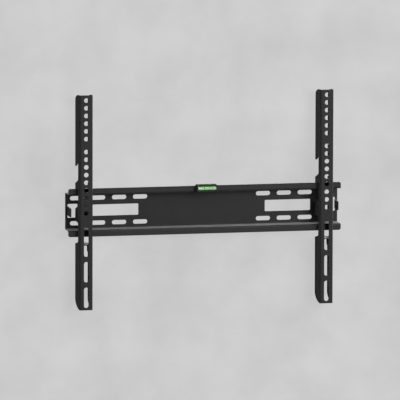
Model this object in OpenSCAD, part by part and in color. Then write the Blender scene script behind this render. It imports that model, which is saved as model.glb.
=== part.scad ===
/* [Wall plate] */
// Length of the wall plate, left to right
plate_w = 540; // [520:1:700]
// Height of the wall plate over both lips
plate_h = 94; // [88:1:110]
// Distance from the wall to the front face of the lips
rail_d = 33; // [28:0.5:40]
// Clear height between the upper and the lower ledge
ledge_gap = 68.8; // [62:0.1:72]
// Thickness of the folded plate sheet
plate_t = 1.5; // [1:0.1:2]
// Inner radius of the folds in the plate
plate_fold_r = 1.5; // [1:0.1:2.5]
// Corner radius at the four free ends of the lips
lip_corner_r = 4; // [2:0.5:6]

/* [Wall plate openings] */
// Length of one fixing slot
slot_l = 28.5; // [20:0.5:32]
// Height of one fixing slot
slot_w = 8.5; // [6:0.5:10]
// Distance between the middles of neighbouring slots
slot_pitch = 41.5; // [34:0.5:42]
// Distance from the middle of the plate to the first slot
slot_first_x = 122; // [60:1:124]
// Distance between the two rows of slots
slot_row_gap = 49; // [40:1:52]
// Length of the large window
window_l = 90.6; // [60:0.2:96]
// Height of the large window
window_h = 22.2; // [16:0.2:26]
// Distance from the middle of the plate to the middle of the large window
window_x = 170.7; // [150:0.1:180]
// Width of the small window at each end
end_window_l = 19.7; // [12:0.1:20]
// Height of the small window at each end
end_window_h = 27; // [22:0.5:30]
// Corner radius of all windows
window_r = 1.8; // [0.5:0.1:4]

/* [End stops] */
// Border of the plate outside the end stop
stop_border = 4.5; // [3.5:0.1:7]
// Height of the end stop
stop_h = 17.5; // [10:0.5:19]
// Radius of the free corners of the end stop
stop_corner_r = 2.5; // [1:0.1:4]
// Inner radius of the fold at the root of the end stop
stop_fold_r = 1; // [0.5:0.1:1.5]

/* [Arms] */
// Distance from the middle of the plate to the middle of each arm
arm_x = 238; // [150:1:239]
// Height of an arm
arm_h = 419; // [419:1:440]
// Width of an arm across its web
arm_w = 26; // [22:0.5:28]
// Depth of an arm over its flanges
arm_d = 45.5; // [44:0.5:47]
// Thickness of the arm sheet
arm_t = 1.5; // [1:0.1:2]
// Inner radius of the folds between web and flanges
arm_fold_r = 1.5; // [1:0.1:2.5]
// Depth that is left of a flange beside its notches
neck_d = 16.7; // [14:0.1:18]
// Height of the long curve at the top of a flange
top_curve_h = 13.5; // [6:0.5:18]
// Height of the long curve at the bottom of a flange
bottom_curve_h = 18; // [6:0.5:24]

/* [Hooks] */
// Distance from the top of the arm to the seat of the hook in use
hook_seat_z = 183.5; // [180:0.5:190]
// Distance between the seats of the two hooks
hook_pitch = 50; // [49:0.5:54]
// Height of the notch from its seat to its lowest front corner
hook_notch_h = 33.2; // [30:0.1:34]
// Drop of the hook from its seat to its tip
hook_drop = 9.6; // [6:0.1:9.9]
// Depth of the flat seat that rests on the lip
hook_seat_d = 4; // [3.4:0.1:5]
// Fall of each lower notch edge towards the wall
notch_fall = 9.2; // [4:0.1:10]
// Distance from the hook seat to the top of the lower notch
low_notch_z = 66.5; // [64:0.5:70]
// Height of the lower notch at its front
low_notch_h = 38.4; // [36:0.1:40]
// Fall of the bottom edge of the lower notch towards the wall
low_notch_fall = 5.4; // [1:0.1:8]
// Radius of the rounded hook tip
hook_tip_r = 2; // [1:0.5:3]
// Radius of the long curve at the inside of the hook
hook_curve_r = 18; // [12:1:20]
// Place of that curve, as a share of the notch depth
hook_curve_y = 0.57; // [0.5:0.01:0.6]
// Place of that curve, as a share of the drop of the hook
hook_curve_z = 0.68; // [0.62:0.01:0.7]
// Radius at the deep corners of the notches
notch_root_r = 6; // [2:0.5:7]
// Radius at the open corners of the notches
notch_mouth_r = 3; // [1:0.5:4]
// Clearance between the hook seat and the lip
seat_clear = 0.3; // [0.2:0.05:0.5]
// Clearance between the neck of a flange and the front of a lip
neck_clear = 0.5; // [0.3:0.05:0.8]

/* [Arm holes] */
// Diameter of a screw hole and width of a slot
hole_d = 9; // [6:0.5:10]
// Distance between neighbouring screw holes
hole_pitch = 15; // [13:0.5:15]
// Distance from the top of the arm to the first hole
hole_first_z = 10; // [8:0.5:12]
// Number of holes in the upper group
upper_holes = 6; // [1:1:6]
// Distance from the top of the arm to the second group of holes
second_group_z = 110; // [110:1:114]
// Number of holes in the second group
second_holes = 9; // [1:1:9]
// Distance from the top of the arm to the long slot
long_slot_z = 254.5; // [250:0.5:256]
// Length of the long slot
long_slot_l = 60; // [40:1:60]
// Length of each short slot
short_slot_l = 40; // [20:1:40]
// Bridge of sheet between neighbouring slots
slot_bridge = 10; // [8:0.5:10]

/* [Locking] */
// Distance from the top of the arm to the top of the locking bracket
bracket_z = 292; // [290:0.5:296]
// Width of the bracket across the arm
bracket_w = 21; // [18:0.5:22]
// Depth of the bracket from the rear edge of the arm
bracket_d = 41; // [36:0.5:42]
// Height of the leg that is welded to the flange
bracket_leg_h = 18; // [12:0.5:22]
// Width of the slanted front corner of the bracket
bracket_cut_w = 12; // [4:0.5:14]
// Depth of the slanted front corner of the bracket
bracket_cut_d = 13; // [4:0.5:14]
// Radius of the free corners of the bracket
bracket_corner_r = 2; // [1:0.5:3]
// Radius of the lower corners of the welded leg
bracket_leg_r = 4; // [1:0.5:5]
// Diameter of the locking screw
screw_d = 5; // [4:0.5:6]
// Diameter of the head of the locking screw
screw_head_d = 9; // [7:0.5:10]
// Height of the head of the locking screw
screw_head_h = 3.4; // [2:0.1:5]
// Width across the flats of the socket in the screw head
screw_socket = 4; // [3:0.5:5]
// Depth of the socket in the screw head
screw_socket_h = 2; // [1:0.1:2.4]
// Chamfer at the tip and the head of the screw
screw_chamfer = 0.6; // [0.3:0.1:0.8]
// Distance that the locking screw lies left of the middle of the arm
screw_offset = 4; // [2:0.5:5]
// Depth of the locking screw behind the rear face of the lip
screw_behind = 3.4; // [2:0.1:6]
// Distance that the screw reaches above the lower edge of the lip
screw_reach = 7; // [4:0.5:8]
// Clearance round the locking screw in the bracket
screw_clear = 0.1; // [0.05:0.05:0.2]

/* [Level] */
// Place of the level, right of the middle of the plate
level_x = 2; // [-20:1:20]
// Length of the level holder
holder_l = 41; // [38:0.5:60]
// Height of the level holder
holder_h = 14; // [13:0.2:16]
// Distance that the holder stands out from the lip
holder_d = 11.4; // [11:0.2:14]
// Thickness of the holder above and behind the lip
holder_t = 2.4; // [1.6:0.1:3]
// Height of the clip leg behind the lip
clip_leg_h = 9; // [5:0.2:10]
// Clearance between the holder and the lip
clip_clear = 0.1; // [0.05:0.05:0.2]
// Corner radius of the holder
holder_r = 2; // [0.5:0.1:3]
// Edge radius of the clip leg behind the lip
clip_leg_r = 0.8; // [0.3:0.1:1]
// Diameter of the level vial
vial_d = 9; // [8:0.2:9]
// Length of the level vial
vial_l = 36; // [24:0.5:36]
// Wall thickness of the vial
vial_t = 1.1; // [0.8:0.1:1.5]
// Distance that the vial stands out of the holder
vial_proud = 0.3; // [0:0.1:0.6]
// Clearance round the vial
vial_clear = 0.1; // [0.05:0.05:0.2]
// Length of the plug that closes the vial
plug_l = 3; // [2:0.5:5]
// Length of the bubble
bubble_l = 9; // [5:0.5:12]
// Diameter of the bubble
bubble_d = 3.6; // [2:0.2:4]
// Liquid between the bubble and the vial
bubble_gap = 0.2; // [0.1:0.05:0.4]

/* [Hidden] */
$fn = 48;
over = 1;
arc_steps = 5;
curve_steps = 14;
seat_edge_r = 1;
seat_root_r = 0.4;
paint = "#2e2e2f";
arm_paint = "#323233";
slots_each_side = 4;
plate_outer_r = plate_fold_r + plate_t;
lip_back = rail_d - plate_t;
ledge_out = ledge_gap / 2 + plate_t;
arm_front = rail_d + neck_clear + neck_d;
arm_top = plate_h / 2 + seat_clear + hook_seat_z;
arm_outer_r = arm_fold_r + arm_t;
notch_d = arm_d - neck_d;
inner_w = arm_w - 2 * arm_t;
stop_x = plate_w / 2 - stop_border;
level_top = plate_h / 2 + clip_clear + holder_t;
vial_y = -(rail_d + holder_d + vial_proud - vial_d / 2);
vial_z = level_top - holder_h / 2;
cavity_d = vial_d - 2 * vial_t;
screw_y = -(lip_back - screw_behind - screw_d / 2);
screw_tip_z = -plate_h / 2 + screw_reach;
bracket_top = arm_top - bracket_z;

// Unit vector along v
function unit(v) = v / norm(v);

// Smallest signed angle from a to b
function turn(a, b) = (b - a + 540) % 360 - 180;

// Points of the arc about o from p to q
function arc_about(o, p, q) = let(
    r = norm(p - o),
    start = atan2(p[1] - o[1], p[0] - o[0]),
    sweep = turn(start, atan2(q[1] - o[1], q[0] - o[0])))
    [for (i = [0:arc_steps]) let(a = start + sweep * i / arc_steps)
        o + r * [cos(a), sin(a)]];

// Points that round the corner b between a and c with radius r
function corner(a, b, c, r) = let(
    u = unit(a - b),
    v = unit(c - b),
    half = acos(u * v) / 2,
    o = b + unit(u + v) * r / sin(half))
    arc_about(o, b + u * r / tan(half), b + v * r / tan(half));

// Outline through corners [x, y, radius], where radius 0 keeps the corner sharp
function rounded(c) = [for (i = [0:len(c) - 1]) let(
    a = c[(i + len(c) - 1) % len(c)],
    b = c[i],
    n = c[(i + 1) % len(c)])
    each b[2] > 0 ? corner([a[0], a[1]], [b[0], b[1]], [n[0], n[1]], b[2]) : [[b[0], b[1]]]];

// Flat rectangle with round corners about the origin
module round_rect(w, h, r) {
    polygon(rounded([[-w / 2, -h / 2, r], [w / 2, -h / 2, r], [w / 2, h / 2, r], [-w / 2, h / 2, r]]));
}

// Extrudes an outline drawn in Y and Z along X, about the middle
module along_x(w) {
    translate([-w / 2, 0, 0])
        rotate([90, 0, 90])
            linear_extrude(height = w)
                children();
}

// Extrudes an outline drawn in X and Z through the sheet that lies in front of the plane y
module through_y(y, depth) {
    translate([0, y, 0])
        rotate([90, 0, 0])
            linear_extrude(height = depth)
                children();
}

// Slot with round ends, of length l and width w, along X
module slot_shape(l, w) {
    square([l - w, w], center = true);
    for (side = [-1, 1])
        translate([side * (l - w) / 2, 0])
            circle(d = w);
}

// Section of the wall plate: back, two ledges and two lips folded from one sheet
module plate_section() {
    h = plate_h / 2;
    g = ledge_gap / 2;
    polygon(rounded([
        [-rail_d, h, 0], [-lip_back, h, 0],
        [-lip_back, ledge_out, plate_fold_r], [0, ledge_out, plate_outer_r],
        [0, -ledge_out, plate_outer_r], [-lip_back, -ledge_out, plate_fold_r],
        [-lip_back, -h, 0], [-rail_d, -h, 0],
        [-rail_d, -g, plate_outer_r], [-plate_t, -g, plate_fold_r],
        [-plate_t, g, plate_fold_r], [-rail_d, g, plate_outer_r]]));
}

// Slots and windows of the wall plate, seen from the front
module plate_openings() {
    for (side = [-1, 1]) {
        for (row = [-1, 1])
            for (i = [0:slots_each_side - 1])
                translate([side * (slot_first_x + i * slot_pitch), row * slot_row_gap / 2])
                    slot_shape(slot_l, slot_w);
        translate([side * window_x, 0])
            round_rect(window_l, window_h, window_r);
        translate([side * (stop_x - end_window_l / 2), 0])
            round_rect(end_window_l, end_window_h, window_r);
    }
}

// End stop folded forward out of the small window, for the right-hand end
module end_stop() {
    inner = stop_x - plate_t;
    intersection() {
        translate([0, 0, -stop_h / 2])
            linear_extrude(height = stop_h)
                polygon(rounded([
                    [stop_x + stop_border / 2, 0, 0], [inner, 0, stop_fold_r + plate_t],
                    [inner, -rail_d, 0], [stop_x, -rail_d, 0],
                    [stop_x, -plate_t, stop_fold_r], [stop_x + stop_border / 2, -plate_t, 0]]));
        translate([stop_x, 0, 0])
            along_x(2 * stop_border)
                polygon(rounded([
                    [over, -stop_h / 2, 0], [over, stop_h / 2, 0],
                    [-rail_d, stop_h / 2, stop_corner_r], [-rail_d, -stop_h / 2, stop_corner_r]]));
    }
}

module wall_plate() {
    color(paint) {
        difference() {
            intersection() {
                along_x(plate_w)
                    plate_section();
                through_y(over, rail_d + 2 * over)
                    round_rect(plate_w, plate_h, lip_corner_r);
            }
            through_y(over, plate_t + 2 * over)
                plate_openings();
        }
        end_stop();
        mirror([1, 0, 0])
            end_stop();
    }
}

// Place in Y and Z of a point that lies depth behind the web and drop below the top of the arm
function arm_point(depth, drop, r = 0) = [depth - arm_front, arm_top - drop, r];

// Long curve at a free end of a flange, from the web to its rear edge
function end_curve(start, height) = [for (i = [0:curve_steps])
    arm_point(arm_d * sin(90 * i / curve_steps), start + height * (1 - cos(90 * i / curve_steps)))];

// Corners of a hook and the notch below it, for the seat at this drop
function hook_notch(seat) = [
    arm_point(arm_d, seat + hook_drop, hook_tip_r),
    arm_point(neck_d + hook_curve_y * notch_d, seat + hook_curve_z * hook_drop, hook_curve_r),
    arm_point(neck_d + hook_seat_d, seat, seat_edge_r),
    arm_point(neck_d, seat, seat_root_r),
    arm_point(neck_d, seat + hook_notch_h, notch_root_r),
    arm_point(arm_d, seat + hook_notch_h + notch_fall, notch_mouth_r)];

// Corners of the lower notch, which passes the lower lip
function low_notch(top) = [
    arm_point(arm_d, top, hook_tip_r),
    arm_point(neck_d, top, notch_root_r),
    arm_point(neck_d, top + low_notch_h, notch_root_r),
    arm_point(arm_d, top + low_notch_h + low_notch_fall, notch_mouth_r)];

// Side view of a flange
function flange_outline() = concat(
    end_curve(0, top_curve_h),
    hook_notch(hook_seat_z - hook_pitch),
    hook_notch(hook_seat_z),
    low_notch(hook_seat_z + low_notch_z),
    [for (i = [0:curve_steps]) let(a = 90 * (1 - i / curve_steps))
        arm_point(arm_d * sin(a), arm_h - bottom_curve_h * (1 - cos(a)))]);

// Section of the channel, with its web towards the viewer
module channel_section(w, d, r) {
    polygon(rounded([
        [-w / 2, -arm_front + arm_d - d, r], [w / 2, -arm_front + arm_d - d, r],
        [w / 2, -arm_front + arm_d + over, 0], [-w / 2, -arm_front + arm_d + over, 0]]));
}

// Holes and slots of the web, seen from the front
module web_openings() {
    for (i = [0:upper_holes - 1])
        translate([0, arm_top - hole_first_z - i * hole_pitch])
            circle(d = hole_d);
    for (i = [0:second_holes - 1])
        translate([0, arm_top - second_group_z - i * hole_pitch])
            circle(d = hole_d);
    translate([0, arm_top - long_slot_z - long_slot_l / 2])
        rotate(90)
            slot_shape(long_slot_l, hole_d);
    for (i = [0:1])
        translate([0, arm_top - long_slot_z - long_slot_l
            - slot_bridge - short_slot_l / 2 - i * (short_slot_l + slot_bridge)])
            rotate(90)
                slot_shape(short_slot_l, hole_d);
}

module arm() {
    difference() {
        intersection() {
            translate([0, 0, arm_top - arm_h])
                linear_extrude(height = arm_h)
                    difference() {
                        channel_section(arm_w, arm_d, arm_outer_r);
                        channel_section(inner_w, arm_d - arm_t, arm_fold_r);
                    }
            along_x(arm_w + 2 * over)
                polygon(rounded(flange_outline()));
        }
        through_y(-arm_front + arm_t + over, arm_t + 2 * over)
            web_openings();
    }
}

module left_arm() {
    color(arm_paint)
        translate([-arm_x, 0, 0])
            arm();
}

module right_arm() {
    color(arm_paint)
        translate([arm_x, 0, 0])
            arm();
}

// Angle bracket that is welded inside the right-hand flange and takes the locking screw
module lock_bracket() {
    right = inner_w / 2;
    left = right - bracket_w;
    rear = arm_d - arm_front;
    front = rear - bracket_d;
    difference() {
        intersection() {
            translate([0, rear, 0])
                rotate([90, 0, 0])
                    linear_extrude(height = bracket_d)
                        polygon(rounded([
                            [left, bracket_top, 0], [right, bracket_top, arm_outer_r],
                            [right, bracket_top - bracket_leg_h, 0],
                            [right - arm_t, bracket_top - bracket_leg_h, 0],
                            [right - arm_t, bracket_top - arm_t, arm_fold_r],
                            [left, bracket_top - arm_t, 0]]));
            translate([0, 0, bracket_top - bracket_leg_h - over])
                linear_extrude(height = bracket_leg_h + 2 * over)
                    polygon(rounded([
                        [left, front, bracket_corner_r], [right - bracket_cut_w, front, bracket_corner_r],
                        [right, front + bracket_cut_d, 0], [right, rear, 0],
                        [left, rear, bracket_corner_r]]));
            along_x(2 * arm_w)
                polygon(rounded([
                    [front, bracket_top + over, 0], [rear, bracket_top + over, 0],
                    [rear, bracket_top - bracket_leg_h, bracket_leg_r],
                    [front, bracket_top - bracket_leg_h, bracket_leg_r]]));
        }
        translate([-screw_offset, screw_y, bracket_top - arm_t - over])
            cylinder(d = screw_d + 2 * screw_clear, h = arm_t + 2 * over);
    }
}

module left_lock_bracket() {
    color(arm_paint)
        translate([-arm_x, 0, 0])
            lock_bracket();
}

module right_lock_bracket() {
    color(arm_paint)
        translate([arm_x, 0, 0])
            lock_bracket();
}

// Socket screw that stands up through the bracket behind the lower lip
module lock_screw() {
    head_top = bracket_top - arm_t - seat_clear;
    translate([-screw_offset, screw_y, 0])
        difference() {
            rotate_extrude()
                polygon([
                    [0, head_top - screw_head_h], [screw_head_d / 2 - screw_chamfer, head_top - screw_head_h],
                    [screw_head_d / 2, head_top - screw_head_h + screw_chamfer], [screw_head_d / 2, head_top],
                    [screw_d / 2, head_top], [screw_d / 2, screw_tip_z - screw_chamfer],
                    [screw_d / 2 - screw_chamfer, screw_tip_z], [0, screw_tip_z]]);
            translate([0, 0, head_top - screw_head_h - over])
                cylinder(d = screw_socket / cos(30), h = screw_socket_h + over, $fn = 6);
        }
}

module left_lock_screw() {
    color("silver")
        translate([-arm_x, 0, 0])
            lock_screw();
}

module right_lock_screw() {
    color("silver")
        translate([arm_x, 0, 0])
            lock_screw();
}

// Moulded holder that clips over the upper lip and frames the vial
module level_holder() {
    front = -(rail_d + holder_d);
    lip_front = -(rail_d + clip_clear);
    lip_rear = -(lip_back - clip_clear);
    bottom = level_top - holder_h;
    color("#1d201d")
        translate([level_x, 0, 0])
            difference() {
                intersection() {
                    along_x(holder_l)
                        polygon(rounded([
                            [front, bottom, holder_r / 2], [front, level_top, holder_r],
                            [lip_rear + holder_t, level_top, clip_leg_r],
                            [lip_rear + holder_t, plate_h / 2 - clip_leg_h, clip_leg_r],
                            [lip_rear, plate_h / 2 - clip_leg_h, 0],
                            [lip_rear, plate_h / 2 + clip_clear, 0],
                            [lip_front, plate_h / 2 + clip_clear, 0], [lip_front, bottom, 0]]));
                    through_y(over, rail_d + holder_d + 2 * over)
                        translate([0, level_top - holder_h / 2])
                            round_rect(holder_l, holder_h, holder_r);
                }
                translate([-vial_l / 2 - vial_clear, vial_y, vial_z])
                    rotate([0, 90, 0])
                        cylinder(d = vial_d + 2 * vial_clear, h = vial_l + 2 * vial_clear);
                translate([-vial_l / 2 - vial_clear, front - over, vial_z - vial_d / 2 - vial_clear])
                    cube([vial_l + 2 * vial_clear, vial_y - front + over, vial_d + 2 * vial_clear]);
            }
}

// Clear barrel of the level, closed at its left end
module level_vial() {
    color("#c8dcc4", 0.5)
        translate([level_x - vial_l / 2, vial_y, vial_z])
            rotate([0, 90, 0])
                difference() {
                    cylinder(d = vial_d, h = vial_l);
                    translate([0, 0, vial_t])
                        cylinder(d = cavity_d, h = vial_l);
                }
}

// Plug that closes the right end of the vial
module level_plug() {
    color("#c8dcc4")
        translate([level_x + vial_l / 2 - plug_l, vial_y, vial_z])
            rotate([0, 90, 0])
                cylinder(d = cavity_d, h = plug_l);
}

// Coloured liquid, with the space of the bubble left out at its top
module level_fluid() {
    fluid_l = vial_l - vial_t - plug_l;
    bubble_drop = (cavity_d - bubble_d) / 2 - bubble_gap;
    color("#8cc47a")
        translate([level_x - vial_l / 2 + vial_t, vial_y, vial_z])
            rotate([0, 90, 0])
                difference() {
                    cylinder(d = cavity_d, h = fluid_l);
                    translate([-bubble_drop, 0, (fluid_l - bubble_l) / 2 + bubble_d / 2]) {
                        cylinder(d = bubble_d, h = bubble_l - bubble_d);
                        sphere(d = bubble_d);
                        translate([0, 0, bubble_l - bubble_d])
                            sphere(d = bubble_d);
                    }
                }
}

wall_plate();
left_arm();
right_arm();
left_lock_bracket();
right_lock_bracket();
left_lock_screw();
right_lock_screw();
level_holder();
level_vial();
level_plug();
level_fluid();
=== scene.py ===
"""Looks of a fixed television wall mount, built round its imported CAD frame.

The folded steel parts keep their CAD nodes and get a powder coat. The locking
screws, spot welds, vial marks and the bubble are surfaces worked out here.
Fields of the classes are in millimetres and degrees where they are sizes and
angles, and meshes are in metres. The stage's own sizes are in metres.
"""

import logging
import math
from abc import ABC, abstractmethod
from collections.abc import Sequence
from dataclasses import dataclass, field, replace
from enum import Enum
from typing import Any

import bpy
import numpy as np
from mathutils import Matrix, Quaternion, Vector


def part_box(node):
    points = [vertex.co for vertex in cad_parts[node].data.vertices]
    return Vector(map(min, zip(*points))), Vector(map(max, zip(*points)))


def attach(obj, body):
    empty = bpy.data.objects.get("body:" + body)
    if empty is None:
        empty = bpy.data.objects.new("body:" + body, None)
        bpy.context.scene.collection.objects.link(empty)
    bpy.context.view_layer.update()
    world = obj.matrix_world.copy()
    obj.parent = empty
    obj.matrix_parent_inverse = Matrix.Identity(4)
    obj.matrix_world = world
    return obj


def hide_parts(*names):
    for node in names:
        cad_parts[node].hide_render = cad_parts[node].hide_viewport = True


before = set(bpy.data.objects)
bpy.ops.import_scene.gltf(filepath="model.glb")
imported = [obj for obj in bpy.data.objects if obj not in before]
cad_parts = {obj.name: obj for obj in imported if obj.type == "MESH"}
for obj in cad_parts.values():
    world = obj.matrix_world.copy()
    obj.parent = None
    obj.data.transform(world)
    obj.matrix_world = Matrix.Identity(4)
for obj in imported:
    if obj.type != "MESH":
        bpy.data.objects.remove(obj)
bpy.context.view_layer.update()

log = logging.getLogger("wall_mount")
MM = 0.001
# Rays with which a material finds how an edge is rounded
BEVEL_SAMPLES = 6
# Nearly every value of a noise lies between these two
NOISE_SPAN = {"From Min": 0.3, "From Max": 0.7}
# Length after which a wave texture of scale 1 repeats, in metres
WAVE_LENGTH = 2 * math.pi / 20


def linear(code: str) -> tuple[float, float, float, float]:
    """Turns an sRGB hex colour into linear light.

    Args:
        code: colour as six hex digits after a hash sign.

    Returns:
        Red, green and blue in linear light, and an alpha of one.
    """
    raw = np.array([int(code[i:i + 2], 16) for i in (1, 3, 5)]) / 255
    light = np.where(raw <= 0.04045, raw / 12.92, ((raw + 0.055) / 1.055) ** 2.4)
    return (*(float(part) for part in light), 1.0)


def per_mm(size: float) -> float:
    """Scale of a texture whose grains are size millimetres across."""
    return 1 / (size * MM)


def feed(node: bpy.types.Node, feeds: dict[str, Any] | Sequence[Any]) -> None:
    """Sets or links inputs of a node.

    Args:
        node: the node.
        feeds: values of its inputs, or the sockets that feed them, by the
            inputs' names or in their order.
    """
    inputs = [entry for entry in node.inputs if entry.enabled]
    for key, value in feeds.items() if isinstance(feeds, dict) else enumerate(feeds):
        entry = inputs[key] if isinstance(key, int) else next(i for i in inputs if i.name == key)
        if isinstance(value, bpy.types.NodeSocket):
            node.id_data.links.new(value, entry)
        else:
            entry.default_value = value


def add(tree: bpy.types.NodeTree, kind: str, feeds: dict[str, Any] | Sequence[Any] = (),
        out: str = "", **settings: Any) -> bpy.types.NodeSocket:
    """Adds one node with its settings and links.

    Args:
        tree: node tree that takes the node.
        kind: node type, such as ShaderNodeTexNoise.
        feeds: what its inputs get, as for feed.
        out: name of the output that is wanted, or nothing for the first in use.
        settings: attributes of the node.

    Returns:
        The wanted output of the new node.
    """
    node = tree.nodes.new(kind)
    for name, value in settings.items():
        setattr(node, name, value)
    feed(node, feeds)
    return node.outputs[out] if out else next(socket for socket in node.outputs if socket.enabled)


class Side(Enum):
    """Which of two like pieces, as the viewer sees them."""

    LEFT = "left"
    RIGHT = "right"


class Turn(Enum):
    """Which way a closed row of points runs, for faces that point outwards."""

    FORWARD = 1
    BACKWARD = -1


# Finishes


@dataclass(frozen=True)
class Finish(ABC):
    """A finish of a real material, made as one node tree on a Principled shader."""

    name: str
    colour: str
    roughness: float

    def material(self) -> bpy.types.Material:
        """Makes the material, or gives the one that is there already.

        Returns:
            The material with this finish's nodes.
        """
        made = bpy.data.materials.get(self.name)
        if made is None:
            made = bpy.data.materials.new(self.name)
            made.use_nodes = True
            shader = made.node_tree.nodes["Principled BSDF"]
            feed(shader, {"Base Color": linear(self.colour), "Roughness": self.roughness})
            self.detail(made.node_tree, shader)
        return made

    @abstractmethod
    def detail(self, tree: bpy.types.NodeTree, shader: bpy.types.Node) -> None:
        """Adds the pattern, gloss and relief of this finish.

        Args:
            tree: node tree of the material.
            shader: its Principled shader.
        """

    def clouded(self, tree: bpy.types.NodeTree, noise: bpy.types.NodeSocket,
                first: Sequence[float], second: Sequence[float],
                most: float = 1.0) -> bpy.types.NodeSocket:
        """Makes a colour that wanders between two colours as a noise does.

        Args:
            tree: node tree of the material.
            noise: socket with the noise.
            first: colour where the noise is low, in linear light.
            second: colour where the noise is high.
            most: share of the second colour at most.

        Returns:
            The socket with the colour.
        """
        share = add(tree, "ShaderNodeMapRange", {"Value": noise, **NOISE_SPAN, "To Max": most})
        return add(tree, "ShaderNodeMix", {"Factor": share, "A": first, "B": second},
                   data_type="RGBA")

    def relief(self, tree: bpy.types.NodeTree, height: bpy.types.NodeSocket, depth: float,
               edge: float) -> bpy.types.NodeSocket:
        """Makes the normal of a relief over softly rounded edges.

        Args:
            tree: node tree of the material.
            height: socket with the height from 0 to 1.
            depth: height of the relief in millimetres.
            edge: radius of the edges in millimetres.

        Returns:
            The socket with the normal.
        """
        soft = add(tree, "ShaderNodeBevel", {"Radius": edge * MM}, samples=BEVEL_SAMPLES)
        return add(tree, "ShaderNodeBump", {
            "Strength": 1.0, "Distance": depth * MM, "Height": height, "Normal": soft})


@dataclass(frozen=True)
class PowderCoat(Finish):
    """Satin black polyester powder, sprayed on steel and baked.

    To the eye it is a deep, nearly neutral black with a soft sheen that grows
    where a face is seen at a flat angle, a fine orange peel, slow paler clouds
    where the powder lies thick and a thinner, paler coat along cut edges.
    """

    edge_colour: str = "#343435"
    cloud_gain: float = 1.18
    cloud: float = 70.0
    patch: float = 24.5
    uneven: float = 0.04
    peel: float = 1.1
    peel_depth: float = 0.012
    edge: float = 0.5
    thin_edge: float = 0.7
    thinnest_at: float = 0.75
    thinner_from: float = 0.98
    sheen: float = 0.3
    sheen_roughness: float = 0.45
    gloss: float = 0.2
    ior: float = 1.5

    def detail(self, tree: bpy.types.NodeTree, shader: bpy.types.Node) -> None:
        """Orange peel, uneven powder and thin edges.

        Real orange peel is about 0.4 mm across, too fine for a view of half a
        metre, so it is drawn at 1.1 mm. Near an edge the softened normal leaves
        the face's own, and the coat thins as their product falls below one.

        Args:
            tree: node tree of the material.
            shader: its Principled shader.
        """
        point = add(tree, "ShaderNodeTexCoord", out="Object")
        cloud = add(tree, "ShaderNodeTexNoise", {
            "Vector": point, "Scale": per_mm(self.cloud), "Detail": 3.0})
        deep = linear(self.colour)
        pale = (*(self.cloud_gain * part for part in deep[:3]), 1.0)
        body = self.clouded(tree, cloud, deep, pale)
        soft = add(tree, "ShaderNodeBevel", {"Radius": self.thin_edge * MM},
                   samples=BEVEL_SAMPLES)
        flat = add(tree, "ShaderNodeNewGeometry", out="Normal")
        product = add(tree, "ShaderNodeVectorMath", [soft, flat], out="Value",
                      operation="DOT_PRODUCT")
        thin = add(tree, "ShaderNodeMapRange", {
            "Value": product, "From Min": self.thinnest_at, "From Max": self.thinner_from,
            "To Min": 1.0, "To Max": 0.0})
        colour = add(tree, "ShaderNodeMix", {
            "Factor": thin, "A": body, "B": linear(self.edge_colour)}, data_type="RGBA")
        patch = add(tree, "ShaderNodeTexNoise", {
            "Vector": point, "Scale": per_mm(self.patch), "Detail": 4.0})
        rough = add(tree, "ShaderNodeMapRange", {
            "Value": patch, **NOISE_SPAN, "To Min": self.roughness - self.uneven,
            "To Max": self.roughness + self.uneven})
        peel = add(tree, "ShaderNodeTexNoise", {
            "Vector": point, "Scale": per_mm(self.peel), "Detail": 1.0})
        feed(shader, {
            "Base Color": colour, "Roughness": rough, "IOR": self.ior,
            "Specular IOR Level": self.gloss, "Sheen Weight": self.sheen,
            "Sheen Roughness": self.sheen_roughness,
            "Normal": self.relief(tree, peel, self.peel_depth, self.edge)})


@dataclass(frozen=True)
class ZincPlate(Finish):
    """Bright zinc plating with a clear chromate on a turned steel screw.

    To the eye it is a light grey metal with a faint warm tint in patches, and
    fine rings left by the turning tool.
    """

    tint: str = "#c9c3a8"
    tint_share: float = 0.6
    patch: float = 3.0
    scuff: float = 0.8
    polished: float = 0.06
    scuffed: float = 0.1
    mark: float = 0.49348
    mark_depth: float = 0.004
    edge: float = 0.15

    def detail(self, tree: bpy.types.NodeTree, shader: bpy.types.Node) -> None:
        """Chromate tint in patches, scuffs and tool marks.

        Real marks are about 0.1 mm apart, and they are drawn about 0.5 mm apart
        to show.

        Args:
            tree: node tree of the material.
            shader: its Principled shader.
        """
        point = add(tree, "ShaderNodeTexCoord", out="Object")
        patch = add(tree, "ShaderNodeTexNoise", {
            "Vector": point, "Scale": per_mm(self.patch), "Detail": 3.0})
        colour = self.clouded(tree, patch, linear(self.colour), linear(self.tint),
                              self.tint_share)
        scuff = add(tree, "ShaderNodeTexNoise", {
            "Vector": point, "Scale": per_mm(self.scuff), "Detail": 4.0})
        rough = add(tree, "ShaderNodeMapRange", {
            "Value": scuff, **NOISE_SPAN, "To Min": self.roughness - self.polished,
            "To Max": self.roughness + self.scuffed})
        rings = add(tree, "ShaderNodeTexWave", {
            "Vector": point, "Scale": WAVE_LENGTH * per_mm(self.mark), "Distortion": 1.5,
            "Detail": 1.0}, out="Fac", wave_type="BANDS", bands_direction="Z")
        feed(shader, {
            "Base Color": colour, "Metallic": 1.0, "Roughness": rough,
            "Normal": self.relief(tree, rings, self.mark_depth, self.edge)})


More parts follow.
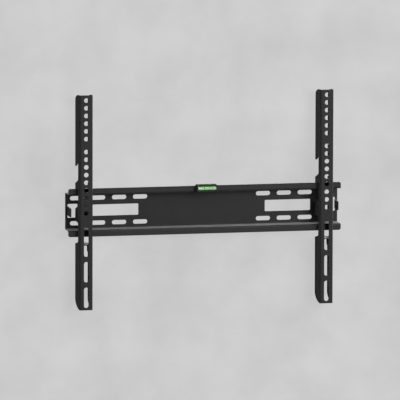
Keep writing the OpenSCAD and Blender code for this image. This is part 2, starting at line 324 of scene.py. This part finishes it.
@dataclass(frozen=True)
class MattAbs(Finish):
    """Black ABS, moulded in a spark-eroded tool.

    To the eye it is a dull green-black plastic with a fine even grain and soft
    edges, a little shinier where the grain is worn.
    """

    worn: str = "#172017"
    grain: float = 0.45
    grain_depth: float = 0.03
    patch: float = 9.0
    polished: float = 0.08
    dulled: float = 0.05
    edge: float = 0.4
    gloss: float = 0.28
    ior: float = 1.54

    def detail(self, tree: bpy.types.NodeTree, shader: bpy.types.Node) -> None:
        """Spark grain. Real grain is 0.1 mm, and it is drawn at 0.45 mm to show.

        Args:
            tree: node tree of the material.
            shader: its Principled shader.
        """
        point = add(tree, "ShaderNodeTexCoord", out="Object")
        grain = add(tree, "ShaderNodeTexNoise", {
            "Vector": point, "Scale": per_mm(self.grain), "Detail": 2.0, "Roughness": 0.6})
        colour = self.clouded(tree, grain, linear(self.colour), linear(self.worn))
        patch = add(tree, "ShaderNodeTexNoise", {
            "Vector": point, "Scale": per_mm(self.patch), "Detail": 3.0})
        rough = add(tree, "ShaderNodeMapRange", {
            "Value": patch, **NOISE_SPAN, "To Min": self.roughness - self.polished,
            "To Max": self.roughness + self.dulled})
        feed(shader, {
            "Base Color": colour, "Roughness": rough, "IOR": self.ior,
            "Specular IOR Level": self.gloss,
            "Normal": self.relief(tree, grain, self.grain_depth, self.edge)})


@dataclass(frozen=True)
class ClearAcrylic(Finish):
    """Polished clear acrylic, moulded as a thick tube.

    To the eye it is colourless with a faint green cast from the liquid, sharp
    highlights along its length and a slight waviness of the moulding.
    """

    alpha: float = 0.07
    coat: float = 0.35
    coat_roughness: float = 0.08
    haze: float = 2.5
    haze_gain: float = 0.05
    wave: float = 6.0
    wave_depth: float = 0.02
    edge: float = 0.3
    ior: float = 1.49

    def detail(self, tree: bpy.types.NodeTree, shader: bpy.types.Node) -> None:
        """Clear body that lets light through, with haze and moulding waves.

        Args:
            tree: node tree of the material.
            shader: its Principled shader.
        """
        point = add(tree, "ShaderNodeTexCoord", out="Object")
        haze = add(tree, "ShaderNodeTexNoise", {
            "Vector": point, "Scale": per_mm(self.haze), "Detail": 2.0})
        rough = add(tree, "ShaderNodeMapRange", {
            "Value": haze, **NOISE_SPAN, "To Min": self.roughness,
            "To Max": self.roughness + self.haze_gain})
        wave = add(tree, "ShaderNodeTexNoise", {
            "Vector": point, "Scale": per_mm(self.wave), "Detail": 1.0})
        feed(shader, {
            "Roughness": rough, "IOR": self.ior, "Alpha": self.alpha, "Coat Weight": self.coat,
            "Coat Roughness": self.coat_roughness,
            "Normal": self.relief(tree, wave, self.wave_depth, self.edge)})


@dataclass(frozen=True)
class LevelLiquid(Finish):
    """Yellow-green dyed spirit in the vial.

    To the eye it is a bright, slightly milky green. It gives off a faint painted
    light, an even emission that stands in for the fluorescent dye and brightens
    it though it is no lamp. It is a little deeper in slow streaks, and its ends
    are painted paler, standing in for light that the thick clear wall round
    them throws back.
    """

    deep: str = "#b6f2a2"
    # Painted light: paler colour of the ends, standing in for light from the thick clear wall
    # round them
    end: str = "#e4f6de"
    # Colour and strength of the painted light that the liquid gives off, though it is no lamp
    painted_light_colour: str = "#aef2b2"
    painted_light_strength: float = 0.14
    clearness: float = 0.06
    streak: float = 5.0
    middle: float = 0.0
    reach: float = 14.0
    painted_pale_from: float = 0.72
    painted_pale_to: float = 0.98
    ior: float = 1.36

    def detail(self, tree: bpy.types.NodeTree, shader: bpy.types.Node) -> None:
        """Milky dyed body with streaks, and ends painted pale.

        The ends turn pale with the distance along X from the middle of the
        liquid, over the named shares of its reach. The paleness is painted light,
        standing in for light that the thick clear wall round the ends throws back.

        Args:
            tree: node tree of the material.
            shader: its Principled shader.
        """
        point = add(tree, "ShaderNodeTexCoord", out="Object")
        streak = add(tree, "ShaderNodeTexNoise", {
            "Vector": point, "Scale": per_mm(self.streak), "Detail": 1.0})
        body = self.clouded(tree, streak, linear(self.colour), linear(self.deep))
        along = add(tree, "ShaderNodeSeparateXYZ", [point], out="X")
        past = add(tree, "ShaderNodeMath", [along, self.middle * MM], operation="SUBTRACT")
        away = add(tree, "ShaderNodeMath", [past], operation="ABSOLUTE")
        # Painted light: the ends grow paler, standing in for light that the thick clear wall
        # throws back
        pale = add(tree, "ShaderNodeMapRange", {
            "Value": away, "From Min": self.painted_pale_from * self.reach * MM,
            "From Max": self.painted_pale_to * self.reach * MM})
        colour = add(tree, "ShaderNodeMix", {
            "Factor": pale, "A": body, "B": linear(self.end)}, data_type="RGBA")
        # The emission is painted light: it brightens the liquid evenly, standing in for the
        # fluorescent dye
        feed(shader, {
            "Base Color": colour, "IOR": self.ior, "Transmission Weight": self.clearness,
            "Emission Color": linear(self.painted_light_colour), "Emission Strength": self.painted_light_strength})


@dataclass(frozen=True)
class PaleStopper(Finish):
    """Milky polythene stopper pressed into the vial.

    To the eye it is a waxy pale green-white with a soft shine.
    """

    cloud_colour: str = "#c6d9c0"
    cloud: float = 2.0
    depth: float = 1.0
    milkiness: float = 0.3
    ior: float = 1.5

    def detail(self, tree: bpy.types.NodeTree, shader: bpy.types.Node) -> None:
        """Waxy body with faint clouds, lit from within.

        Args:
            tree: node tree of the material.
            shader: its Principled shader.
        """
        point = add(tree, "ShaderNodeTexCoord", out="Object")
        cloud = add(tree, "ShaderNodeTexNoise", {
            "Vector": point, "Scale": per_mm(self.cloud), "Detail": 2.0})
        colour = self.clouded(tree, cloud, linear(self.colour), linear(self.cloud_colour))
        feed(shader, {
            "Base Color": colour, "IOR": self.ior, "Subsurface Weight": self.milkiness,
            "Subsurface Scale": self.depth * MM})


@dataclass(frozen=True)
class MarkInk(Finish):
    """Black printing ink of the two marks on the vial.

    To the eye it is an even matt black with slightly ragged density.
    """

    thin_colour: str = "#22241f"
    grain: float = 0.4

    def detail(self, tree: bpy.types.NodeTree, shader: bpy.types.Node) -> None:
        """Slightly uneven ink.

        Args:
            tree: node tree of the material.
            shader: its Principled shader.
        """
        point = add(tree, "ShaderNodeTexCoord", out="Object")
        grain = add(tree, "ShaderNodeTexNoise", {
            "Vector": point, "Scale": per_mm(self.grain), "Detail": 3.0})
        colour = self.clouded(tree, grain, linear(self.colour), linear(self.thin_colour))
        feed(shader, {"Base Color": colour})


@dataclass(frozen=True)
class AirBubble(Finish):
    """Surface of the air bubble under the top of the vial.

    To the eye it is pale, nearly clear, with a deeper green rim. The pale film
    is painted light, standing in for light that the bubble's surface throws
    back, and the deeper rim is painted shade where the surface is seen edge on.
    """

    painted_rim_shade: str = "#5d8f4c"
    painted_rim_width: float = 0.35
    alpha: float = 0.4

    def detail(self, tree: bpy.types.NodeTree, shader: bpy.types.Node) -> None:
        """Painted pale film with painted shade that deepens towards its rim.

        Args:
            tree: node tree of the material.
            shader: its Principled shader.
        """
        # Painted shade: the colour deepens as the surface is seen more edge on
        rim = add(tree, "ShaderNodeLayerWeight", {"Blend": self.painted_rim_width}, out="Facing")
        colour = add(tree, "ShaderNodeMix", {
            "Factor": rim, "A": linear(self.colour), "B": linear(self.painted_rim_shade)},
            data_type="RGBA")
        feed(shader, {"Base Color": colour, "Alpha": self.alpha})


@dataclass(frozen=True)
class StagePaint(Finish):
    """Pale matt paint of the wall and the floor, seen only from its front.

    From behind it is clear, so that it never hides the object. The share of it
    that is even shows the paint's colour with no shadow, as on the photograph.
    """

    other: str
    even: float
    cloud: float
    gloss: float = 0.1

    def detail(self, tree: bpy.types.NodeTree, shader: bpy.types.Node) -> None:
        """Faint clouds of paint, an even share and a clear back.

        Args:
            tree: node tree of the material.
            shader: its Principled shader.
        """
        point = add(tree, "ShaderNodeTexCoord", out="Object")
        cloud = add(tree, "ShaderNodeTexNoise", {
            "Vector": point, "Scale": per_mm(self.cloud), "Detail": 4.0, "Roughness": 0.55})
        colour = self.clouded(tree, cloud, linear(self.colour), linear(self.other))
        feed(shader, {"Base Color": colour, "Specular IOR Level": self.gloss})
        path = add(tree, "ShaderNodeLightPath").node.outputs
        seen = add(tree, "ShaderNodeMath", [path["Is Camera Ray"], path["Is Glossy Ray"]],
                   operation="MAXIMUM")
        seen = add(tree, "ShaderNodeMath", [seen, path["Is Transmission Ray"]],
                   operation="MAXIMUM")
        even = add(tree, "ShaderNodeMath", [seen, self.even], operation="MULTIPLY")
        plain = add(tree, "ShaderNodeEmission", {"Color": colour})
        front = add(tree, "ShaderNodeMixShader", [even, shader.outputs["BSDF"], plain])
        back = add(tree, "ShaderNodeNewGeometry", out="Backfacing")
        clear = add(tree, "ShaderNodeBsdfTransparent")
        both = add(tree, "ShaderNodeMixShader", [back, front, clear])
        feed(tree.nodes["Material Output"], {"Surface": both})


PLATE_COAT = PowderCoat("satin_black_powder_coat_plate", "#232324", roughness=0.5)
ARM_COAT = PowderCoat("satin_black_powder_coat_arm", "#1d1d1f", roughness=0.5)
ZINC = ZincPlate("zinc_plated_turned_steel", "#c3c5c8", roughness=0.3)
ABS = MattAbs("moulded_black_abs", "#0e160e", roughness=0.65)
ACRYLIC = ClearAcrylic("polished_clear_acrylic", "#d4f6c6", roughness=0.1)
LIQUID = LevelLiquid("dyed_level_spirit", "#d3fbc8", roughness=0.12)
STOPPER = PaleStopper("milky_polythene_stopper", "#d6e6d0", roughness=0.35)
INK = MarkInk("black_mark_ink", "#20281a", roughness=0.5)
# The bubble's pale film and its deeper rim are painted light and shade
BUBBLE = AirBubble("painted_air_bubble_film", "#d8ffc8", roughness=0.2)
WALL_PAINT = StagePaint("pale_wall_paint", "#d5d5d5", roughness=0.9, other="#c9c9c9",
                        even=0.88, cloud=120.0)
FLOOR_PAINT = StagePaint("pale_floor_paint", "#d0d0cf", roughness=0.9, other="#cacac9",
                         even=0.7, cloud=260.0)


def dress(piece: bpy.types.Object, finish: Finish) -> None:
    """Gives a piece one finish in all its material slots.

    Args:
        piece: a CAD node's object or a new piece.
        finish: its finish.
    """
    if not piece.data.materials:
        piece.data.materials.append(None)
    for number in range(len(piece.data.materials)):
        piece.data.materials[number] = finish.material()


# Surfaces


@dataclass(frozen=True)
class Shell:
    """Points in metres and faces of one closed surface."""

    points: np.ndarray
    quads: np.ndarray
    triangles: np.ndarray


def closed(rings: np.ndarray, start: np.ndarray | None = None, end: np.ndarray | None = None,
           turn: Turn = Turn.FORWARD) -> Shell:
    """Closes rows of points, each of which closes on itself, to one surface.

    Row i and row i + 1 are joined by quads, the last point of a row joins the
    first, and a pole closes each end by triangles. With no poles the last row
    joins the first row, as on a ring.

    Args:
        rings: points in metres, shaped rows by columns by 3.
        start: pole before the first row, or None.
        end: pole after the last row, or None.
        turn: way the rows run, so that faces point outwards.

    Returns:
        The closed surface.
    """
    rows, columns, _ = rings.shape
    index = np.arange(rows * columns).reshape(rows, columns)
    after = np.roll(index, -1, axis=1)
    points = rings.reshape(-1, 3)
    if start is None or end is None:
        upper, upper_after = np.roll(index, -1, axis=0), np.roll(after, -1, axis=0)
        quads = np.stack([index, after, upper_after, upper], axis=-1)
        triangles = np.empty((0, 3), dtype=int)
    else:
        quads = np.stack([index[:-1], after[:-1], after[1:], index[1:]], axis=-1)
        first, last = len(points), len(points) + 1
        points = np.vstack([points, start, end])
        low = np.stack([after[0], index[0], np.full(columns, first)], axis=-1)
        high = np.stack([index[-1], after[-1], np.full(columns, last)], axis=-1)
        triangles = np.vstack([low, high])
    return Shell(points, quads.reshape(-1, 4)[:, ::turn.value], triangles[:, ::turn.value])


def surface(name: str, *shells: Shell) -> bpy.types.Object:
    """Makes one smooth mesh of one or more closed surfaces.

    Args:
        name: name of the piece.
        shells: its closed surfaces.

    Returns:
        The new object, in the scene.
    """
    faces: list[list[int]] = []
    count = 0
    for part in shells:
        faces += (part.quads + count).tolist() + (part.triangles + count).tolist()
        count += len(part.points)
    mesh = bpy.data.meshes.new(name)
    mesh.from_pydata(np.vstack([part.points for part in shells]).tolist(), [], faces)
    mesh.shade_smooth()
    mesh.update()
    piece = bpy.data.objects.new(name, mesh)
    bpy.context.scene.collection.objects.link(piece)
    return piece


def revolved(radii: np.ndarray, heights: np.ndarray, around: np.ndarray) -> np.ndarray:
    """Points of a turned form: radius times cosine, radius times sine, height.

    Args:
        radii: radius of each point, rows by columns, or one per row.
        heights: height of each point, rows by columns, or one per row.
        around: angle of each column in radians.

    Returns:
        Points shaped rows by columns by 3.
    """
    radius = np.broadcast_to(radii.reshape(len(radii), -1), (len(radii), len(around)))
    height = np.broadcast_to(heights.reshape(len(heights), -1), radius.shape)
    return np.stack([radius * np.cos(around), radius * np.sin(around), height], axis=-1)


def laid(points: np.ndarray) -> np.ndarray:
    """Points of a form laid from Z along X: X takes Z, Y takes X and Z takes Y."""
    return np.stack([points[..., 2], points[..., 0], points[..., 1]], axis=-1)


def circle(count: int) -> np.ndarray:
    """Angles of count points evenly round a circle, in radians."""
    return np.arange(count) * 2 * np.pi / count


# The mount


@dataclass
class LockingScrew:
    """Socket screw that stands up through the bracket behind the lower lip."""

    side: Side
    body: str
    shaft_d: float = 5.0
    pitch: float = 0.8
    thread_depth: float = 0.42
    thread_steepness: float = 1.25
    crest_flat: float = 0.12
    thread_fade: float = 1.2
    plain_end: float = 0.9
    tip_chamfer: float = 0.6
    shaft_foot: float = 0.05
    head_d: float = 9.0
    head_h: float = 3.4
    fillet: float = 0.25
    upper_bevel: tuple[float, float] = (0.3, 0.25)
    flute_start: float = 0.5
    flute_end: float = 0.7
    lower_bevel: tuple[float, float] = (0.25, 0.2)
    end_inset: float = 0.6
    lobes: int = 24
    knurl: float = 0.14
    socket: float = 4.0
    socket_h: float = 2.04
    socket_bevel: tuple[float, float] = (0.25, 0.22)
    floor_share: float = 0.97
    columns: int = 120
    rows_per_pitch: int = 9

    def thread(self, under: float, top: float) -> tuple[np.ndarray, np.ndarray]:
        """Radii and heights of the threaded shaft, from its tip to the head.

        The radius is the crest's less the thread depth times a triangle wave of
        height over pitch less angle over a full turn, cut flat at crest and
        root. The wave fades out at both ends, and the tip has a chamfer.

        Args:
            under: height of the head's upper face.
            top: height of the tip.

        Returns:
            Radii and heights, each shaped rows by columns.
        """
        around = circle(self.columns)
        crest = self.shaft_d / 2
        rows = int((top - under) / self.pitch * self.rows_per_pitch)
        z = np.linspace(top, under + self.shaft_foot, rows)[:, None]
        wave = np.abs((z / self.pitch - around / (2 * np.pi)) % 1 * 2 - 1)
        cut = np.clip(wave * self.thread_steepness - self.crest_flat, 0, 1)
        fade = np.clip((top - z) / self.thread_fade, 0, 1)
        fade = fade * np.clip((z - under - self.plain_end) / self.thread_fade, 0, 1)
        chamfer = np.clip(self.tip_chamfer - (top - z), 0, self.tip_chamfer)
        radii = np.minimum(crest - self.thread_depth * cut * fade, crest - chamfer)
        return radii, np.broadcast_to(z, radii.shape)

    def head(self, low: float, under: float) -> tuple[np.ndarray, np.ndarray]:
        """Radii and heights of the head, from the shaft to its lower face.

        The side is fluted: its radius is less by the knurl's depth times one
        less the cosine of the lobes times the angle, over two.

        Args:
            low: height of the head's lower face.
            under: height of its upper face.

        Returns:
            Radii and heights, each shaped rows by columns.
        """
        rim = self.head_d / 2
        flute = self.knurl * (0.5 - 0.5 * np.cos(self.lobes * circle(self.columns)))
        profile = (
            (self.shaft_d / 2 + self.fillet, under, 0),
            (rim - self.upper_bevel[0], under, 0),
            (rim, under - self.upper_bevel[1], 0),
            (rim, under - self.flute_start, 1),
            (rim, low + self.flute_end, 1),
            (rim - self.lower_bevel[0], low + self.lower_bevel[1], 0),
            (rim - self.end_inset, low, 0),
        )
        radius, height, fluted = np.array(profile).T[..., None]
        return radius - fluted * flute, np.repeat(height, self.columns, axis=1)

    def hollow(self, low: float) -> tuple[np.ndarray, np.ndarray]:
        """Radii and heights of the hexagon socket, from its mouth to its floor.

        The hexagon's radius is half the width across flats over the cosine of
        the angle from the nearest flat.

        Args:
            low: height of the head's lower face.

        Returns:
            Radii and heights, each shaped rows by columns.
        """
        sixth = np.pi / 3
        from_flat = (circle(self.columns) + sixth / 2) % sixth - sixth / 2
        hexagon = self.socket / 2 / np.cos(from_flat)
        widening, bevel_h = self.socket_bevel
        radii = np.array([hexagon + widening, hexagon, hexagon, self.floor_share * hexagon])
        heights = np.array([low, low + bevel_h, low + self.socket_h, low + self.socket_h])
        return radii, np.repeat(heights[:, None], self.columns, axis=1)

    def build(self) -> bpy.types.Object:
        """Builds the screw in the place of its CAD node, with its head down.

        Returns:
            The screw, riding on its arm.
        """
        node = f"{self.side.value}_lock_screw"
        low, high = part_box(node)
        bottom, top = low.z / MM, high.z / MM
        under = bottom + self.head_h
        parts = (self.thread(under, top), self.head(bottom, under), self.hollow(bottom))
        radii, heights = (np.vstack(rows) for rows in zip(*parts))
        centre = np.array([(low.x + high.x) / 2, (low.y + high.y) / 2, 0.0])
        rings = revolved(radii, heights, circle(self.columns)) * MM + centre
        tip = centre + [0, 0, top * MM]
        floor = centre + [0, 0, (bottom + self.socket_h) * MM]
        piece = surface(f"{self.side.value}_threaded_screw",
                        closed(rings, tip, floor, Turn.BACKWARD))
        dress(piece, ZINC)
        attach(piece, self.body)
        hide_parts(node)
        return piece


@dataclass
class HookedArm:
    """Hooked, perforated arm with its welded bracket and locking screw."""

    side: Side
    weld_r: float = 2.4
    weld_h: float = 0.18
    weld_dish: float = 0.2
    weld_root: float = 0.3
    weld_y: tuple[float, ...] = (-10.0, -19.0, -28.0)
    weld_drop: float = 1.5
    weld_rows: int = 7
    weld_columns: int = 28
    inner_share: float = 0.12
    root_share: float = 0.5
    body: str = field(init=False)
    screw: LockingScrew = field(init=False)

    def __post_init__(self) -> None:
        """Names the arm's body and gives the arm its screw."""
        self.body = f"{self.side.value}_hanger"
        self.screw = LockingScrew(self.side, self.body)

    def welds(self) -> bpy.types.Object:
        """Builds the spot welds that show on the flange outside the bracket.

        Each is a shallow crown with a dished middle: its height is the weld's
        height times one less the fourth power of the share of the radius, times
        one less the dish times one less the square of that share. A closed root
        lies inside the sheet. The welds stand in a row along Y.

        Returns:
            The welds as one mesh, riding on the arm.
        """
        name = self.side.value
        arm_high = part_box(f"{name}_arm")[1]
        bracket_low, bracket_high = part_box(f"{name}_lock_bracket")
        middle = (bracket_low.z + bracket_high.z) / 2 - self.weld_drop * MM
        share = np.linspace(self.inner_share, 1.0, self.weld_rows)
        crown = (1 - share ** 4) * (1 - self.weld_dish * (1 - share ** 2)) * self.weld_h
        radii = np.concatenate([share, [1.0, self.root_share]]) * self.weld_r
        heights = np.concatenate([crown, [-self.weld_root, -self.weld_root]])
        shape = laid(revolved(radii, heights, circle(self.weld_columns))) * MM
        top = np.array([(1 - self.weld_dish) * self.weld_h * MM, 0, 0])
        root = np.array([-self.weld_root * MM, 0, 0])
        places = [np.array([arm_high.x, y * MM, middle]) for y in self.weld_y]
        piece = surface(f"{name}_spot_welds", *(
            closed(shape + at, at + top, at + root, Turn.BACKWARD) for at in places))
        dress(piece, ARM_COAT)
        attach(piece, self.body)
        return piece

    def build(self) -> None:
        """Dresses the arm and its bracket, and adds welds and screw."""
        for node in (f"{self.side.value}_arm", f"{self.side.value}_lock_bracket"):
            dress(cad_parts[node], ARM_COAT)
            log.info("%s: %s", node, ARM_COAT.name)
        for piece in (self.welds(), self.screw.build()):
            log.info("%s: %d faces", piece.name, len(piece.data.polygons))


@dataclass
class WallRail:
    """Folded wall plate with its slots, windows, ledges and lips."""

    node: str = "wall_plate"

    def build(self) -> None:
        """Dresses the plate in its powder coat."""
        dress(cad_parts[self.node], PLATE_COAT)
        log.info("%s: %s", self.node, PLATE_COAT.name)


@dataclass
class SpiritLevel:
    """Bubble level that clips over the upper lip."""

    body: str = "rail"
    mark_w: float = 0.5
    mark_t: float = 0.05
    mark_gap: float = 10.6
    mark_columns: int = 96
    bubble_l: float = 8.8
    bubble_d: float = 3.4
    bubble_rise: float = 1.5
    bubble_flatness: float = 0.92
    bubble_rows: int = 25
    bubble_columns: int = 40
    middle: np.ndarray = field(init=False)
    radius: float = field(init=False)

    def __post_init__(self) -> None:
        """Reads the vial's middle and radius from the frame, in metres."""
        low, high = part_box("level_vial")
        self.middle = np.array((low + high) / 2)
        self.radius = (high.z - low.z) / 2

    def along(self, radii: np.ndarray, places: np.ndarray, columns: int) -> np.ndarray:
        """Points of a form turned about the vial's axis.

        Args:
            radii: radius of each row in metres.
            places: place of each row along the vial from its middle, in metres.
            columns: number of points round each row.

        Returns:
            Points shaped rows by columns by 3.
        """
        return laid(revolved(radii, places, circle(columns))) + self.middle

    def marks(self) -> list[bpy.types.Object]:
        """Builds the two printed rings, each a thin flat band round the vial.

        The band's section is a rectangle of the ink's width and thickness with
        its edges rounded off, carried round the vial's axis. It reaches into
        the vial's wall by less than half its thickness.

        Returns:
            The two rings, riding on the plate.
        """
        across = np.array([-1.0, -0.9, 0.9, 1.0, 0.9, -0.9]) * self.mark_w / 2 * MM
        out = np.array([0.5, 1.0, 1.0, 0.5, -0.4, -0.4]) * self.mark_t * MM
        rings = []
        for side, way in ((Side.LEFT, -1), (Side.RIGHT, 1)):
            rows = self.along(self.radius + out, across + way * self.mark_gap / 2 * MM,
                              self.mark_columns)
            piece = surface(f"{side.value}_vial_mark", closed(rows))
            dress(piece, INK)
            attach(piece, self.body)
            rings.append(piece)
        return rings

    def bubble(self) -> bpy.types.Object:
        """Builds the bubble, a long drop flattened against the top of the vial.

        Along its length the radius follows the fourth root of one less the
        fourth power of the share of the half length. Its height is its width
        times its flatness, and it lies above the vial's axis by its rise.

        Returns:
            The bubble, riding on the plate.
        """
        share = np.sin(np.linspace(-1, 1, self.bubble_rows)[1:-1] * np.pi / 2)
        radii = (1 - share ** 4) ** 0.25 * self.bubble_d / 2 * MM
        rows = self.along(radii, share * self.bubble_l / 2 * MM, self.bubble_columns)
        rows[..., 2] = self.middle[2] + (rows[..., 2] - self.middle[2]) * self.bubble_flatness
        lift = np.array([0.0, 0.0, self.bubble_rise * MM])
        start, end = (self.middle + lift + [way * self.bubble_l / 2 * MM, 0, 0]
                      for way in (-1, 1))
        piece = surface("level_bubble", closed(rows + lift, start, end))
        dress(piece, BUBBLE)
        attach(piece, self.body)
        return piece

    def build(self) -> None:
        """Dresses holder, vial, plug and liquid, and adds marks and bubble."""
        low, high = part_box("level_fluid")
        liquid = replace(LIQUID, middle=(low.x + high.x) / 2 / MM, reach=(high.x - low.x) / 2 / MM)
        for node, finish in (("level_holder", ABS), ("level_vial", ACRYLIC),
                             ("level_plug", STOPPER), ("level_fluid", liquid)):
            dress(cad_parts[node], finish)
            log.info("%s: %s", node, finish.name)
        for piece in (*self.marks(), self.bubble()):
            log.info("%s: %d faces", piece.name, len(piece.data.polygons))


# The stage


def direction(azimuth: float, elevation: float) -> Vector:
    """Unit vector from the object towards a viewer.

    Args:
        azimuth: angle to the right of straight ahead, in degrees.
        elevation: angle above the horizon, in degrees.

    Returns:
        The vector.
    """
    a, e = math.radians(azimuth), math.radians(elevation)
    return Vector((math.sin(a) * math.cos(e), -math.cos(a) * math.cos(e), math.sin(e)))


@dataclass(frozen=True)
class Lamp:
    """Large soft lamp that looks at the middle of the object, sized in metres."""

    name: str
    azimuth: float
    elevation: float
    level: float
    size: float
    distance: float = 5.0

    def build(self) -> None:
        """Adds the lamp.

        A lamp of power P at distance d lights a white card that faces it to
        the level P over pi squared d squared.
        """
        light = bpy.data.lights.new(self.name, "AREA")
        light.shape = "DISK"
        light.size = self.size
        light.energy = self.level * (math.pi * self.distance) ** 2
        lamp = bpy.data.objects.new(self.name, light)
        back = direction(self.azimuth, self.elevation)
        lamp.location = back * self.distance
        lamp.rotation_euler = (-back).to_track_quat("-Z", "Y").to_euler()
        bpy.context.scene.collection.objects.link(lamp)


@dataclass
class Studio:
    """Pale wall, floor, soft lamps and the camera at the photograph's angle.

    The aim and the wall's gap are in millimetres, as is the lens. The other
    sizes of the stage are in metres.
    """

    wall_size: float = 12.0
    wall_gap: float = 1.0
    floor_z: float = -1.3
    azimuth: float = -11.98
    elevation: float = 7.96
    roll: float = 0.145
    distance: float = 16.0
    lens: float = 741.3
    sensor: float = 36.0
    sight: float = 100.0
    aim_right: float = -3.27
    aim_up: float = 14.2
    aim_y: float = -1.5
    world_light: str = "#ffffff"
    world_level: float = 0.04
    world_pale: str = "#c8c8c8"
    shine_start: float = -0.1
    shine_full: float = -0.5
    lamps: tuple[Lamp, ...] = (
        Lamp("key_lamp", azimuth=22.0, elevation=15.0, level=0.64, size=2.4),
        Lamp("left_lamp", azimuth=-75.0, elevation=20.0, level=0.34, size=2.4),
        Lamp("top_lamp", azimuth=60.0, elevation=60.0, level=0.4, size=2.0),
        Lamp("right_lamp", azimuth=112.0, elevation=8.0, level=0.5, size=2.0),
        Lamp("rear_lamp", azimuth=163.0, elevation=-5.0, level=0.5, size=3.0),
    )

    def sheet(self, name: str, corners: list[list[float]], finish: Finish) -> None:
        """Adds one flat sheet of the stage.

        It throws neither light nor shade back on the object, so that the
        object's rear looks right too when it is seen from behind the wall.

        Args:
            name: name of the sheet.
            corners: its four corners in order, in metres.
            finish: its paint.
        """
        mesh = bpy.data.meshes.new(name)
        mesh.from_pydata(corners, [], [[0, 1, 2, 3]])
        piece = bpy.data.objects.new(name, mesh)
        bpy.context.scene.collection.objects.link(piece)
        dress(piece, finish)
        piece.visible_diffuse = False
        piece.visible_glossy = False
        piece.visible_shadow = False

    def backdrop(self) -> None:
        """Adds the wall behind the plate and the floor below."""
        half, y, z = self.wall_size / 2, self.wall_gap * MM, self.floor_z
        self.sheet("stage_wall", [[-half, y, z], [half, y, z], [half, y, half], [-half, y, half]],
                   WALL_PAINT)
        self.sheet("stage_floor", [[-half, -half, z], [half, -half, z], [half, half, z],
                                   [-half, half, z]], FLOOR_PAINT)

    def world(self) -> None:
        """Sets a dim even light all round that shows as the pale room.

        The camera and clear parts see the pale colour on every side, and glossy
        parts see it on the viewer's side, where Y is negative. On the wall's
        side it stays dim for them, because the photograph shows no shine along
        the arms' flanges.
        """
        world = bpy.data.worlds.new("soft_room")
        world.use_nodes = True
        bpy.context.scene.world = world
        tree = world.node_tree
        light = tree.nodes["Background"]
        feed(light, {"Color": linear(self.world_light), "Strength": self.world_level})
        pale = add(tree, "ShaderNodeBackground", {"Color": linear(self.world_pale)})
        path = add(tree, "ShaderNodeLightPath").node.outputs
        seen = add(tree, "ShaderNodeMath", [path["Is Camera Ray"], path["Is Transmission Ray"]],
                   operation="MAXIMUM")
        ray = add(tree, "ShaderNodeTexCoord", out="Generated")
        depth = add(tree, "ShaderNodeSeparateXYZ", [ray], out="Y")
        front = add(tree, "ShaderNodeMapRange", {
            "Value": depth, "From Min": self.shine_start, "From Max": self.shine_full})
        shiny = add(tree, "ShaderNodeMath", [path["Is Glossy Ray"], front], operation="MULTIPLY")
        seen = add(tree, "ShaderNodeMath", [seen, shiny], operation="MAXIMUM")
        both = add(tree, "ShaderNodeMixShader", [seen, light.outputs["Background"], pale])
        feed(tree.nodes["World Output"], {"Surface": both})

    def camera(self) -> None:
        """Adds the camera, with a long lens from the left and a little above."""
        data = bpy.data.cameras.new("photo_camera")
        data.lens = self.lens
        data.sensor_width = self.sensor
        data.clip_end = self.sight
        back = direction(self.azimuth, self.elevation)
        turn = Quaternion(back, math.radians(self.roll)) @ (-back).to_track_quat("-Z", "Y")
        aim = turn @ Vector((self.aim_right, self.aim_up, 0.0)) + Vector((0.0, self.aim_y, 0.0))
        camera = bpy.data.objects.new("photo_camera", data)
        camera.location = aim * MM + back * self.distance
        camera.rotation_euler = turn.to_euler()
        bpy.context.scene.collection.objects.link(camera)
        bpy.context.scene.camera = camera

    def build(self) -> None:
        """Builds the stage, lamps and camera, and sets plain colours."""
        self.backdrop()
        self.world()
        for lamp in self.lamps:
            lamp.build()
        self.camera()
        bpy.context.scene.view_settings.view_transform = "Standard"


def main() -> None:
    """Builds the mount's looks in order."""
    logging.basicConfig(level=logging.INFO, format="%(message)s")
    WallRail().build()
    for side in Side:
        HookedArm(side).build()
    SpiritLevel().build()
    Studio().build()
    bpy.context.view_layer.update()


if __name__ == "__main__":
    main()
